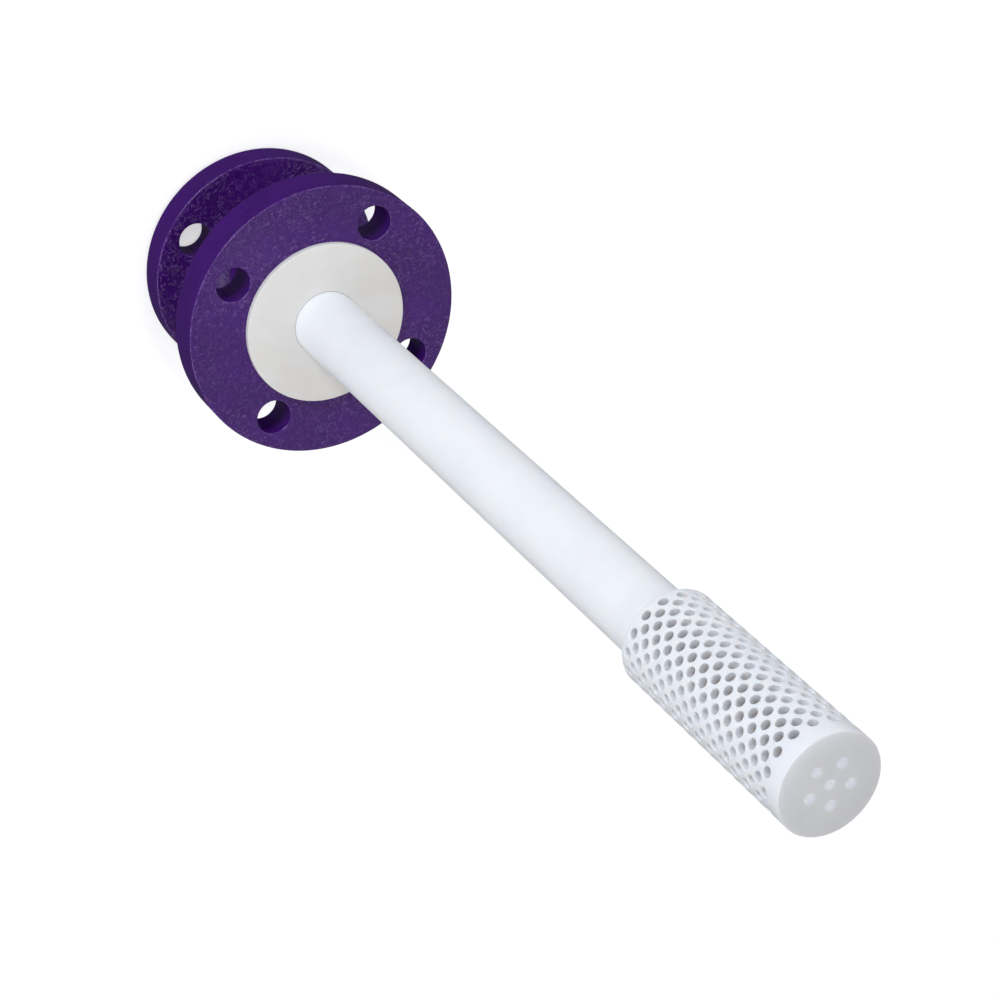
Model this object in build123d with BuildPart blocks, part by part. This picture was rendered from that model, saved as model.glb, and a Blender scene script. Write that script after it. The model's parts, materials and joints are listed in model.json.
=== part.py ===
# Dip pipe sparger: a solid PTFE dip pipe in a short flanged steel spool, with a perforated PTFE cup on its end.
# It stands on its inlet sealing face, with the pipe pointing up. All lengths are in millimetres.
# Origin: centre of the inlet sealing face. +Z runs along the pipe towards the perforated cup.
import os
from math import cos, pi, radians, sin, sqrt

from build123d import *

os.makedirs("parts", exist_ok=True)

# Vessel flange, the larger one, 1 1/2 inch class 150
vessel_flange_diameter = 127.0
vessel_flange_thickness = 17.5

# Inlet flange, the smaller one, 1 inch class 150
inlet_flange_diameter = 108.0
inlet_flange_thickness = 14.3

# What both flanges share. The edge distance is from the centre of a bolt hole to the rim.
bolt_hole_diameter = 15.9
bolt_edge_distance = 14.3
bolt_count = 4
first_bolt_angle = 45.0
rim_chamfer = 0.8
flange_gap = 47.8
weld_leg = 5.0
weld_gap = 0.2

# Neck tube between the flanges
neck_wall = 5.6
neck_clearance = 0.25
vent_diameter = 5.0

# Dip pipe and its flare over the inlet flange
pipe_diameter = 30.0
pipe_wall = 5.0
flare_diameter = 50.8
flare_thickness = 3.0
insertion_length = 405.0

# Face ring on the vessel flange: it fits round the pipe and stays inside the bolt holes
face_ring_thickness = 3.0
face_ring_clearance = 0.1
face_ring_bolt_margin = 3.75

# Perforated cup
cup_diameter = 40.0
cup_length = 103.0
cup_wall = 3.5
cup_end_thickness = 6.0
cup_lip_thickness = 2.0

# Spigot turned on the end of the pipe: the cup's lip goes over it and seats on its shoulder
spigot_step = 2.0
spigot_depth = 4.0
spigot_clearance = 0.1

# Side holes of the cup, in rings that are staggered by half a step, and the holes in its end
side_hole_diameter = 4.0
hole_sides = 6
holes_per_ring = 16
ring_count = 24
first_ring_margin = 4.0
last_ring_margin = 8.8
side_hole_turn = 3.9
end_hole_diameter = 4.0
end_hole_circle = 16.6
end_hole_count = 5
end_hole_turn = 9.4
drill_overrun = 1.0

# Heights along the pipe
inlet_flange_bottom = flare_thickness
inlet_flange_top = inlet_flange_bottom + inlet_flange_thickness
vessel_flange_bottom = inlet_flange_top + flange_gap
vessel_flange_top = vessel_flange_bottom + vessel_flange_thickness
sealing_face = vessel_flange_top + face_ring_thickness
cup_top = sealing_face + insertion_length
cup_bottom = cup_top - cup_length
pipe_top = cup_bottom + cup_lip_thickness + spigot_depth

# Radii of the bolt circles, and of the face ring that stays inside the larger one
vessel_bolt_radius = vessel_flange_diameter / 2 - bolt_edge_distance
inlet_bolt_radius = inlet_flange_diameter / 2 - bolt_edge_distance
face_ring_radius = vessel_bolt_radius - bolt_hole_diameter / 2 - face_ring_bolt_margin

# Radii that follow from the pipe
pipe_radius = pipe_diameter / 2
pipe_bore_radius = pipe_radius - pipe_wall
spigot_radius = pipe_radius - spigot_step
neck_bore_radius = pipe_radius + neck_clearance
neck_radius = neck_bore_radius + neck_wall
flange_bore_radius = neck_radius + weld_gap
cup_bore_radius = cup_diameter / 2 - cup_wall


def flange_ring(diameter, thickness, bottom, bolt_radius):
    """A flat ring flange with its bolt holes and both rim edges broken."""
    with BuildPart() as ring:
        with BuildSketch(Plane.XY.offset(bottom)):
            Circle(diameter / 2)
            Circle(flange_bore_radius, mode=Mode.SUBTRACT)
            with PolarLocations(bolt_radius, bolt_count, start_angle=first_bolt_angle):
                Circle(bolt_hole_diameter / 2, mode=Mode.SUBTRACT)
        extrude(amount=thickness)
        rim_edges = ring.edges().filter_by(GeomType.CIRCLE).group_by(SortBy.RADIUS)[-1]
        chamfer(rim_edges, length=rim_chamfer)
    return ring


def fillet_weld(corner_height, direction):
    """A triangular bead in the corner between the neck tube and a flange face."""
    with BuildPart() as bead:
        with BuildSketch(Plane.XZ):
            with BuildLine():
                Polyline(
                    (neck_radius, corner_height),
                    (neck_radius + weld_leg, corner_height),
                    (neck_radius, corner_height + direction * weld_leg),
                    close=True,
                )
            make_face()
        revolve(axis=Axis.Z)
    return bead


def drawn_corner_radius(diameter):
    """The corner radius of the polygon that has as much area as a round hole of this diameter."""
    return diameter / 2 * sqrt(2 * pi / (hole_sides * sin(2 * pi / hole_sides)))


# Steel spool
vessel_flange = flange_ring(
    vessel_flange_diameter, vessel_flange_thickness, vessel_flange_bottom, vessel_bolt_radius
)
vessel_flange.part.label = "vessel_flange"
export_step(vessel_flange.part, "parts/vessel_flange.step")

inlet_flange = flange_ring(
    inlet_flange_diameter, inlet_flange_thickness, inlet_flange_bottom, inlet_bolt_radius
)
inlet_flange.part.label = "inlet_flange"
export_step(inlet_flange.part, "parts/inlet_flange.step")

with BuildPart() as neck_tube:
    with BuildSketch(Plane.XY.offset(inlet_flange_bottom)):
        Circle(neck_radius)
        Circle(neck_bore_radius, mode=Mode.SUBTRACT)
    extrude(amount=vessel_flange_top - inlet_flange_bottom)
    with BuildSketch(Plane.YZ):
        with Locations((0, (inlet_flange_top + vessel_flange_bottom) / 2)):
            Circle(vent_diameter / 2)
    extrude(amount=neck_radius + drill_overrun, mode=Mode.SUBTRACT)
neck_tube.part.label = "neck_tube"
export_step(neck_tube.part, "parts/neck_tube.step")

inlet_weld = fillet_weld(inlet_flange_top, 1)
inlet_weld.part.label = "inlet_weld"
export_step(inlet_weld.part, "parts/inlet_weld.step")

vessel_weld = fillet_weld(vessel_flange_bottom, -1)
vessel_weld.part.label = "vessel_weld"
export_step(vessel_weld.part, "parts/vessel_weld.step")

# Dip pipe: one turned length with the flare at its lower end and the spigot at its upper end
with BuildPart() as dip_pipe:
    with BuildSketch(Plane.XY):
        Circle(flare_diameter / 2)
    extrude(amount=flare_thickness)
    with BuildSketch(Plane.XY.offset(flare_thickness)):
        Circle(pipe_radius)
    extrude(amount=cup_bottom - flare_thickness)
    with BuildSketch(Plane.XY.offset(cup_bottom)):
        Circle(spigot_radius)
    extrude(amount=pipe_top - cup_bottom)
    with BuildSketch(Plane.XY):
        Circle(pipe_bore_radius)
    extrude(amount=pipe_top, mode=Mode.SUBTRACT)
dip_pipe.part.label = "dip_pipe"
export_step(dip_pipe.part, "parts/dip_pipe.step")

with BuildPart() as face_ring:
    with BuildSketch(Plane.XY.offset(vessel_flange_top)):
        Circle(face_ring_radius)
        Circle(pipe_radius + face_ring_clearance, mode=Mode.SUBTRACT)
    extrude(amount=face_ring_thickness)
face_ring.part.label = "face_ring"
export_step(face_ring.part, "parts/face_ring.step")

# Perforated cup: turned with its end in one piece, then drilled from the side in staggered rings.
# With this many holes the wall is a fine polygon with one corner on each row of holes, and a hole has
# few sides and the area of the round one, so that each hole stays a few plain faces.
ring_pitch = (cup_length - first_ring_margin - last_ring_margin) / (ring_count - 1)
row_count = 2 * holes_per_ring
drill_start_radius = cup_bore_radius - drill_overrun
drill_travel = cup_diameter / 2 + drill_overrun - drill_start_radius

with BuildPart() as sparger_cup:
    with BuildSketch(Plane.XY.offset(cup_bottom)):
        RegularPolygon(cup_diameter / 2, row_count, rotation=side_hole_turn)
    extrude(amount=cup_length)
    with BuildSketch(Plane.XY.offset(cup_bottom)):
        Circle(spigot_radius + spigot_clearance)
    extrude(amount=cup_lip_thickness, mode=Mode.SUBTRACT)
    with BuildSketch(Plane.XY.offset(cup_bottom + cup_lip_thickness)):
        RegularPolygon(cup_bore_radius, row_count, rotation=side_hole_turn)
    extrude(amount=cup_length - cup_lip_thickness - cup_end_thickness, mode=Mode.SUBTRACT)
    for row in range(row_count):
        angle = radians(side_hole_turn + row * 360 / row_count)
        outward = Vector(cos(angle), sin(angle), 0)
        drill_plane = Plane(
            origin=outward * drill_start_radius + Vector(0, 0, cup_bottom),
            x_dir=(0, 0, 1),
            z_dir=outward,
        )
        ring_heights = [first_ring_margin + ring * ring_pitch for ring in range(row % 2, ring_count, 2)]
        with BuildSketch(drill_plane):
            with Locations(*[(height, 0) for height in ring_heights]):
                RegularPolygon(drawn_corner_radius(side_hole_diameter), hole_sides)
    extrude(amount=drill_travel, mode=Mode.SUBTRACT)
    with BuildSketch(Plane.XY.offset(cup_top)):
        RegularPolygon(drawn_corner_radius(end_hole_diameter), hole_sides)
        with PolarLocations(end_hole_circle / 2, end_hole_count, start_angle=end_hole_turn):
            RegularPolygon(drawn_corner_radius(end_hole_diameter), hole_sides)
    extrude(amount=-cup_end_thickness, mode=Mode.SUBTRACT)
sparger_cup.part.label = "sparger_cup"
export_step(sparger_cup.part, "parts/sparger_cup.step")
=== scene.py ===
"""The finish of a dip pipe sparger: purple enamelled flanges, a white plastic pipe and a perforated cup.

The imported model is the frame. Each piece here stands for one of its solids, at the same place and size.
All lengths are in metres.
"""
import json
import math

import bmesh
import bpy
from mathutils import Matrix, Vector


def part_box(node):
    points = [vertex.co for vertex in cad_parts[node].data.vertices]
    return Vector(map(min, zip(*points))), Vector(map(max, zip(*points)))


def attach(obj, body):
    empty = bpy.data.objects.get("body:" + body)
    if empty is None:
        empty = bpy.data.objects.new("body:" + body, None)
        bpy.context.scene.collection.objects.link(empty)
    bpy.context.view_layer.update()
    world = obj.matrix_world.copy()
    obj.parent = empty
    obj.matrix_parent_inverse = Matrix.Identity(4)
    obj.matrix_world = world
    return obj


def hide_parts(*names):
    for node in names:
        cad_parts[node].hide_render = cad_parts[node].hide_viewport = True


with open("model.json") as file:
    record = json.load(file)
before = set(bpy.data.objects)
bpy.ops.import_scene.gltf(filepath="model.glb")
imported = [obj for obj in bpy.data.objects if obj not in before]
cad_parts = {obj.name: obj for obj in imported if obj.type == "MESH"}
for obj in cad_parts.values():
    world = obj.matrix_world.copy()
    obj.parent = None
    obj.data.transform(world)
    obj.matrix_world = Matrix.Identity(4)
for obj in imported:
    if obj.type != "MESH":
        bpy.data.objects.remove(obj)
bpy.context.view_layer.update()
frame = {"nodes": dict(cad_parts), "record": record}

bl_info = {
    "name": "Dip Pipe Sparger Finish",
    "version": (1, 0, 0),
    "blender": (4, 5, 0),
    "location": "View3D > Sidebar > Sparger",
    "description": "Models and finishes the pieces of a dip pipe sparger round its packed solids",
    "category": "Object",
}

MM = 0.001
BODY = "root"
EDGE_ATTRIBUTE = "edge_wear_and_highlight"
MERGE_DISTANCE = 0.001 * MM
CREASE = math.radians(40)

# Sizes that the frame holds
MOUNTS = {mount["name"]: mount for mount in frame["record"]["mounts"]}
NODE_BOX = {name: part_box(name) for name in frame["nodes"]}
BORE_RADIUS = MOUNTS["inlet_bore"]["dims"]["r_mm"] * MM


def outer_radius(node):
    """Half the width of a round node."""
    low, high = NODE_BOX[node]
    return (high.x - low.x) / 2


def heights(node):
    """The lowest and highest z of a node."""
    low, high = NODE_BOX[node]
    return low.z, high.z


def length_property(name, description, default):
    """A length that a user may change."""
    return bpy.props.FloatProperty(name=name, description=description, default=default, unit="LENGTH")


def colour_property(name, description, default):
    """A colour that a user may change."""
    return bpy.props.FloatVectorProperty(
        name=name, description=description, default=default, subtype="COLOR", min=0.0, max=1.0
    )


class SpargerSizes(bpy.types.PropertyGroup):
    """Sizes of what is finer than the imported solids, and of what they don't state."""

    pipe_radius: length_property("Pipe radius", "Outer radius of the dip pipe", 15.0 * MM)
    spigot_radius: length_property(
        "Spigot radius", "Radius of the turned end of the pipe inside the cup", 13.0 * MM
    )
    neck_wall: length_property(
        "Neck wall", "Wall of the steel neck tube between the flanges", 5.6 * MM
    )
    weld_gap: length_property(
        "Weld gap", "Gap between the neck tube and the bore of a flange", 0.2 * MM
    )
    vent_radius: length_property(
        "Vent radius", "Radius of the vent hole in the neck tube", 2.5 * MM
    )
    ring_clearance: length_property(
        "Ring clearance", "Gap between the face ring and the pipe", 0.1 * MM
    )
    cup_wall: length_property("Cup wall", "Wall of the perforated cup", 3.5 * MM)
    cup_radius: length_property("Cup radius", "Outer radius of the perforated cup", 20.0 * MM)
    cup_end: length_property("Cup end", "Thickness of the closed end of the cup", 6.0 * MM)
    cup_lip: length_property("Cup lip", "Thickness of the lip that seats on the pipe", 1.6 * MM)
    hole_radius: length_property(
        "Hole radius", "Radius of the side holes and end holes of the cup", 2.0 * MM
    )
    holes_per_ring: bpy.props.IntProperty(
        name="Holes per ring",
        description="Side holes in one ring",
        default=16,
    )
    ring_count: bpy.props.IntProperty(
        name="Rings",
        description="Rings of side holes, staggered by half a step",
        default=24,
    )
    first_ring: length_property(
        "First ring", "Height of the first ring of holes over the back edge of the cup", 4.0 * MM
    )
    last_ring: length_property(
        "Last ring", "Distance of the last ring of holes from the end face", 8.8 * MM
    )
    side_turn: bpy.props.FloatProperty(
        name="Side hole turn",
        description="Turn of the first row of side holes from +X",
        default=math.radians(3.9),
        subtype="ANGLE",
    )
    end_circle: length_property(
        "End hole circle", "Radius of the circle that the end holes lie on", 8.3 * MM
    )
    end_count: bpy.props.IntProperty(
        name="End holes",
        description="End holes round the one in the middle",
        default=5,
    )
    end_turn: bpy.props.FloatProperty(
        name="End hole turn",
        description="Turn of the first end hole from +X",
        default=math.radians(9.4),
        subtype="ANGLE",
    )
    steel_edge: length_property("Steel edge", "Rounding of the enamelled steel edges", 0.7 * MM)
    plastic_edge: length_property("Plastic edge", "Rounding of the turned plastic edges", 0.35 * MM)
    hole_edge: length_property(
        "Hole edge", "Rounding of the mouths of the drilled holes", 0.22 * MM
    )


class SpargerColours(bpy.types.PropertyGroup):
    """Colours of the finishes and of the floor."""

    enamel: colour_property("Enamel", "Purple enamel of the steel pieces", (0.055, 0.005, 0.165))
    # Painted highlight on the ridges of the wrinkles; the same lighter tone marks the worn edges, partly
    # as painted edge highlight.
    enamel_highlight_and_wear: colour_property(
        "Enamel ridge", "Thin, dusty enamel on ridges and worn edges", (0.28, 0.155, 0.43)
    )
    ptfe: colour_property(
        "White plastic", "Turned plastic of the pipe and the cup", (0.865, 0.885, 0.92)
    )
    pressed: colour_property(
        "Pressed plastic", "Matt plastic of the face ring", (0.80, 0.79, 0.775)
    )
    # Painted shade: this darker, warmer tone of the bore inside the cup stands in for the shade in its
    # hollow.
    painted_bore_shade: colour_property(
        "Bored plastic", "Rough bored inside of the perforated cup", (0.60, 0.53, 0.46)
    )
    floor: colour_property("Floor", "Plain pale floor", (0.70, 0.70, 0.70))


# Shader helpers


def add_node(tree, kind, inputs=None, **settings):
    """Adds a node, sets its options, and gives its inputs a value or a link."""
    node = tree.nodes.new(kind)
    for key, value in settings.items():
        setattr(node, key, value)
    for key, value in (inputs or {}).items():
        socket = node.inputs[key]
        if isinstance(value, bpy.types.NodeSocket):
            tree.links.new(value, socket)
        else:
            socket.default_value = value
    return node


def add_math(tree, operation, first, second=0.0, clamp=False):
    """The result socket of a Math node."""
    node = add_node(tree, "ShaderNodeMath", {0: first, 1: second}, operation=operation, use_clamp=clamp)
    return node.outputs[0]


def add_range(tree, value, low, high, new_low=0.0, new_high=1.0, smooth=True):
    """The result socket of a Map Range node."""
    node = add_node(
        tree,
        "ShaderNodeMapRange",
        {"Value": value, "From Min": low, "From Max": high, "To Min": new_low, "To Max": new_high},
        interpolation_type="SMOOTHSTEP" if smooth else "LINEAR",
    )
    return node.outputs["Result"]


def add_mix(tree, share, first, second):
    """The colour socket of a Mix node."""
    node = add_node(
        tree, "ShaderNodeMix", {"Factor": share, "A": first, "B": second}, data_type="RGBA"
    )
    return node.outputs["Result"]


def add_noise(tree, coordinates, size, detail=2.0, roughness=0.5, distortion=0.0):
    """The value socket of a Noise node whose lumps are about one size across, in metres."""
    node = add_node(
        tree,
        "ShaderNodeTexNoise",
        {
            "Vector": coordinates,
            "Scale": 1.0 / size,
            "Detail": detail,
            "Roughness": roughness,
            "Distortion": distortion,
        },
    )
    return node.outputs["Fac"]


def add_axis_distance(tree, coordinates):
    """The sockets of the distance from the pipe's axis, and of the height."""
    parts = add_node(tree, "ShaderNodeSeparateXYZ", {0: coordinates}).outputs
    flat = add_node(tree, "ShaderNodeCombineXYZ", {"X": parts["X"], "Y": parts["Y"]})
    radius = add_node(tree, "ShaderNodeVectorMath", {0: flat.outputs[0]}, operation="LENGTH")
    return radius.outputs["Value"], parts["Z"]


def new_group(name, inputs, outputs):
    """An empty shader node group with its sockets, and its input and output nodes."""
    tree = bpy.data.node_groups.new(name, "ShaderNodeTree")
    for socket_name, kind, value in inputs:
        socket = tree.interface.new_socket(socket_name, in_out="INPUT", socket_type=kind)
        if value is not None:
            socket.default_value = value
    for socket_name, kind in outputs:
        tree.interface.new_socket(socket_name, in_out="OUTPUT", socket_type=kind)
    return tree, tree.nodes.new("NodeGroupInput"), tree.nodes.new("NodeGroupOutput")


def add_relief(tree, surface, height, strength, distance):
    """Gives the surface the bumps of a height."""
    bump = add_node(
        tree, "ShaderNodeBump", {"Height": height, "Strength": strength, "Distance": distance}
    )
    tree.links.new(bump.outputs["Normal"], surface.inputs["Normal"])


def set_subsurface(surface, weight, colour_reach, reach):
    """Lets light a little way into a plastic."""
    surface.inputs["Subsurface Weight"].default_value = weight
    surface.inputs["Subsurface Radius"].default_value = colour_reach
    surface.inputs["Subsurface Scale"].default_value = reach


# Patterns that the finishes share. A rise or fall is the two values between which a pattern changes.

RIDGES_PER_METRE = 300.0
RIDGE_FOLDS = 5.0
RIDGE_RISE = (0.28, 0.50)
GROOVE_SHADE_FALL = (0.0, 0.24)
WRINKLE_PATCH_SIZE = 26 * MM
WRINKLE_PATCH_RISE = (0.34, 0.58)
LEAST_WRINKLED = 0.35
BREAK_SIZE = 2.4 * MM
BREAK_RISE = (0.34, 0.56)
SWELL_SIZE = 6 * MM
SWELL_SHARE = 0.9
PEEL_SIZE = 1.3 * MM
PEEL_SHARE = 0.45
GLOSS_PATCH_SIZE = 9 * MM
GLOSS_PATCH_RISE = (0.3, 0.7)
ENAMEL_ROUGHNESS = (0.26, 0.36)

WEAR_GRAIN_SIZE = 1.6 * MM
WEAR_REACH = 0.8
WEAR_RISE = (0.0, 0.12)
WORN_EDGE_RISE = (0.25, 0.95)

CLOUD_SIZE = 28 * MM
CLOUD_RISE = (0.35, 0.70)
SKIN_SIZE = 0.9 * MM
SATIN_PATCH_SIZE = 7 * MM
SATIN_PATCH_RISE = (0.3, 0.7)
PLASTIC_ROUGHNESS = (0.30, 0.42)
TURNING_MARKS_PER_METRE = 1600.0


def wrinkle_group():
    """Thick enamel over rough steel: short worm-like ridges that come and go in patches. Its Ridge mask
    also places painted highlight, and its Groove mask painted shade.
    """
    tree, given, result = new_group(
        "Wrinkled enamel",
        [
            ("Coordinates", "NodeSocketVector", None),
            ("Ridges per Metre", "NodeSocketFloat", RIDGES_PER_METRE),
            ("Flatness", "NodeSocketFloat", 1.0),
        ],
        [
            ("Height", "NodeSocketFloat"),
            ("Ridge", "NodeSocketFloat"),
            ("Groove", "NodeSocketFloat"),
            ("Roughness", "NodeSocketFloat"),
        ],
    )
    place = given.outputs["Coordinates"]
    flatness = given.outputs["Flatness"]
    worms = add_node(
        tree,
        "ShaderNodeTexNoise",
        {
            "Vector": place,
            "Scale": given.outputs["Ridges per Metre"],
            "Detail": 1.0,
            "Roughness": 0.45,
            "Distortion": 0.6,
        },
    ).outputs["Fac"]
    contours = add_math(tree, "PINGPONG", add_math(tree, "MULTIPLY", worms, RIDGE_FOLDS), 0.5)
    crests = add_range(tree, contours, *RIDGE_RISE)
    # The crests raise the bumps and carry the painted highlight on the ridges; the valleys carry only the
    # painted shade in the grooves.
    valleys = add_range(tree, contours, *GROOVE_SHADE_FALL, 1.0, 0.0)
    patch_noise = add_noise(tree, place, WRINKLE_PATCH_SIZE, 3.0, 0.6)
    patches = add_range(tree, patch_noise, *WRINKLE_PATCH_RISE, LEAST_WRINKLED, 1.0)
    breaks = add_range(tree, add_noise(tree, place, BREAK_SIZE, 1.0), *BREAK_RISE)
    share = add_math(tree, "MULTIPLY", patches, flatness)
    ridge = add_math(tree, "MULTIPLY", add_math(tree, "MULTIPLY", crests, breaks), share)
    groove = add_math(tree, "MULTIPLY", valleys, share)
    swell = add_math(tree, "MULTIPLY", add_noise(tree, place, SWELL_SIZE), SWELL_SHARE)
    peel = add_math(tree, "MULTIPLY", add_noise(tree, place, PEEL_SIZE), PEEL_SHARE)
    grain = add_math(tree, "ADD", swell, add_math(tree, "MULTIPLY", peel, flatness))
    gloss = add_noise(tree, place, GLOSS_PATCH_SIZE)
    roughness = add_range(tree, gloss, *GLOSS_PATCH_RISE, *ENAMEL_ROUGHNESS)
    tree.links.new(add_math(tree, "ADD", grain, ridge), result.inputs["Height"])
    tree.links.new(ridge, result.inputs["Ridge"])
    tree.links.new(groove, result.inputs["Groove"])
    tree.links.new(roughness, result.inputs["Roughness"])
    return tree


def wear_group():
    """A ragged mask along the edges that the edge attribute marks: worn paint, and a painted edge
    highlight.
    """
    tree, given, result = new_group(
        "Edge wear",
        [
            ("Coordinates", "NodeSocketVector", None),
            ("Edge", "NodeSocketFloat", 0.0),
            ("Amount", "NodeSocketFloat", 0.5),
        ],
        [("Wear", "NodeSocketFloat")],
    )
    ragged = add_noise(tree, given.outputs["Coordinates"], WEAR_GRAIN_SIZE, 3.0, 0.65)
    kept = add_math(tree, "SUBTRACT", 1.0, given.outputs["Amount"])
    above = add_math(tree, "SUBTRACT", ragged, add_math(tree, "MULTIPLY", kept, WEAR_REACH))
    mask = add_range(tree, above, *WEAR_RISE)
    edge = add_range(tree, given.outputs["Edge"], *WORN_EDGE_RISE)
    tree.links.new(add_math(tree, "MULTIPLY", mask, edge), result.inputs["Wear"])
    return tree


def cloud_group():
    """Milky plastic: two tones in soft clouds, with a fine skin."""
    tree, given, result = new_group(
        "Clouded plastic",
        [
            ("Coordinates", "NodeSocketVector", None),
            ("Light", "NodeSocketColor", None),
            ("Dark", "NodeSocketColor", None),
        ],
        [("Color", "NodeSocketColor"), ("Height", "NodeSocketFloat"), ("Roughness", "NodeSocketFloat")],
    )
    place = given.outputs["Coordinates"]
    clouds = add_range(tree, add_noise(tree, place, CLOUD_SIZE, 3.0, 0.55, 0.6), *CLOUD_RISE)
    colour = add_mix(tree, clouds, given.outputs["Light"], given.outputs["Dark"])
    skin = add_noise(tree, place, SKIN_SIZE, 2.0, 0.6)
    satin = add_noise(tree, place, SATIN_PATCH_SIZE, 3.0)
    roughness = add_range(tree, satin, *SATIN_PATCH_RISE, *PLASTIC_ROUGHNESS)
    tree.links.new(colour, result.inputs["Color"])
    tree.links.new(skin, result.inputs["Height"])
    tree.links.new(roughness, result.inputs["Roughness"])
    return tree


def turning_group():
    """Fine marks of the lathe: rings round the axis on flat faces and along it on round ones."""
    tree, given, result = new_group(
        "Turning marks",
        [
            ("Coordinates", "NodeSocketVector", None),
            ("Marks per Metre", "NodeSocketFloat", TURNING_MARKS_PER_METRE),
        ],
        [("Height", "NodeSocketFloat")],
    )
    radius, height = add_axis_distance(tree, given.outputs["Coordinates"])
    along = add_math(tree, "ADD", radius, height)
    line = add_node(
        tree,
        "ShaderNodeTexNoise",
        {
            "W": add_math(tree, "MULTIPLY", along, given.outputs["Marks per Metre"]),
            "Scale": 1.0,
            "Detail": 2.0,
        },
        noise_dimensions="1D",
    )
    tree.links.new(line.outputs["Fac"], result.inputs["Height"])
    return tree


def add_group(tree, name, build, inputs):
    """The outputs of a group node. The group is built the first time that a material asks for it."""
    shared = bpy.data.node_groups.get(name) or build()
    return add_node(tree, "ShaderNodeGroup", inputs, node_tree=shared).outputs


# Materials

FLATNESS_RISE = (0.55, 0.95)
RIM_WRINKLE = 0.10
WEAR_AMOUNT = 0.42
ENAMEL_CLOUD_SIZE = 22 * MM
ENAMEL_CLOUD_RISE = (0.35, 0.65)
ENAMEL_CLOUD_SHADE = 0.84
# Painted shade in the grooves of the wrinkles: how much of it, and how dark.
GROOVE_SHADE_SHARE = 0.55
GROOVE_SHADE = 0.45
RIDGE_HIGHLIGHT_SHARE = 0.34
# Worn edges take the lighter ridge tone: partly worn paint, partly painted edge highlight.
WORN_AND_HIGHLIGHT_SHARE = 0.35
ENAMEL_RELIEF = 0.16 * MM
ENAMEL_RELIEF_STRENGTH = 0.9
ENAMEL_IOR = 1.46

PLASTIC_RELIEF = 0.03 * MM
TURNED_RELIEF_STRENGTH = 0.30
TURNED_SKIN_SHARE = 0.4
TURNED_CLOUD_SHADE = 0.965
TURNED_CLOUD_TINT = (1.0, 1.0, 1.01)
TURNED_SUBSURFACE = (0.6, (1.15, 1.0, 0.9), 2.0 * MM)
TURNED_IOR = 1.38
# Where the painted shade inside the cup's bore begins and fades out.
BORE_SHADE_FALL = (0.05 * MM, 0.25 * MM)
BORE_SHADE_BORDER = 0.1 * MM
# Painted light: the end-hole walls glow though the cup is no lamp; these set where the glow lies and how
# strong it is.
END_GLOW_DEPTH = 1.4 * MM
END_GLOW_BORDER = 0.5 * MM
END_GLOW_MARGIN = 0.2 * MM
END_GLOW_FADE = 2.0 * MM
END_GLOW_COLOUR = (0.93, 0.96, 1.0, 1.0)
END_GLOW_STRENGTH = 0.19
NO_GLOW = (0.0, 0.0, 0.0, 1.0)

PRESSED_MARKS_PER_METRE = 1100.0
PRESSED_RELIEF_STRENGTH = 0.35
PRESSED_CLOUD_SHADE = 0.955
PRESSED_CLOUD_TINT = (1.0, 0.995, 0.98)
PRESSED_ROUGHER = 0.15
PRESSED_SUBSURFACE = (0.2, (1.1, 1.0, 0.9), 1.0 * MM)


def new_material(name):
    """A material with a Principled BSDF, and the socket of Object coordinates."""
    material = bpy.data.materials.new(name)
    material.use_nodes = True
    tree = material.node_tree
    surface = tree.nodes["Principled BSDF"]
    place = tree.nodes.new("ShaderNodeTexCoord").outputs["Object"]
    return material, tree, surface, place


def solid_colour(colour):
    """A colour property as four numbers."""
    return (*colour, 1.0)


def shade(colour, factor, tint=(1.0, 1.0, 1.0)):
    """A colour made darker or lighter, and tinted."""
    return tuple(min(1.0, c * factor * t) for c, t in zip(colour, tint)) + (1.0,)


def enamel_material(colours):
    """Purple enamel, wrinkled on flat faces and smoother on rims, with painted shade in the grooves of
    its wrinkles, painted highlight on their ridges, and lighter worn edges that are partly painted
    highlight.
    """
    material, tree, surface, place = new_material("purple_enamel")
    facing = add_node(tree, "ShaderNodeNewGeometry").outputs["Normal"]
    upright = add_node(tree, "ShaderNodeSeparateXYZ", {0: facing}).outputs["Z"]
    level = add_math(tree, "ABSOLUTE", upright)
    flatness = add_range(tree, level, *FLATNESS_RISE, RIM_WRINKLE, 1.0)
    wrinkle = add_group(
        tree, "Wrinkled enamel", wrinkle_group, {"Coordinates": place, "Flatness": flatness}
    )
    edge = add_node(tree, "ShaderNodeAttribute", attribute_name=EDGE_ATTRIBUTE).outputs["Fac"]
    wear = add_group(
        tree, "Edge wear", wear_group, {"Coordinates": place, "Edge": edge, "Amount": WEAR_AMOUNT}
    )
    clouds = add_range(tree, add_noise(tree, place, ENAMEL_CLOUD_SIZE, 3.0), *ENAMEL_CLOUD_RISE)
    cloudy = shade(colours.enamel, ENAMEL_CLOUD_SHADE)
    colour = add_mix(tree, clouds, solid_colour(colours.enamel), cloudy)
    # Painted shade darkens the grooves, painted highlight lightens the ridges, and the worn edges get a
    # lighter tone that is partly painted highlight.
    for pattern, most, tone in (
        (wrinkle["Groove"], GROOVE_SHADE_SHARE, shade(colours.enamel, GROOVE_SHADE)),
        (wrinkle["Ridge"], RIDGE_HIGHLIGHT_SHARE, solid_colour(colours.enamel_highlight_and_wear)),
        (wear["Wear"], WORN_AND_HIGHLIGHT_SHARE, solid_colour(colours.enamel_highlight_and_wear)),
    ):
        colour = add_mix(tree, add_math(tree, "MULTIPLY", pattern, most), colour, tone)
    add_relief(tree, surface, wrinkle["Height"], ENAMEL_RELIEF_STRENGTH, ENAMEL_RELIEF)
    tree.links.new(colour, surface.inputs["Base Color"])
    tree.links.new(wrinkle["Roughness"], surface.inputs["Roughness"])
    surface.inputs["IOR"].default_value = ENAMEL_IOR
    return material


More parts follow.
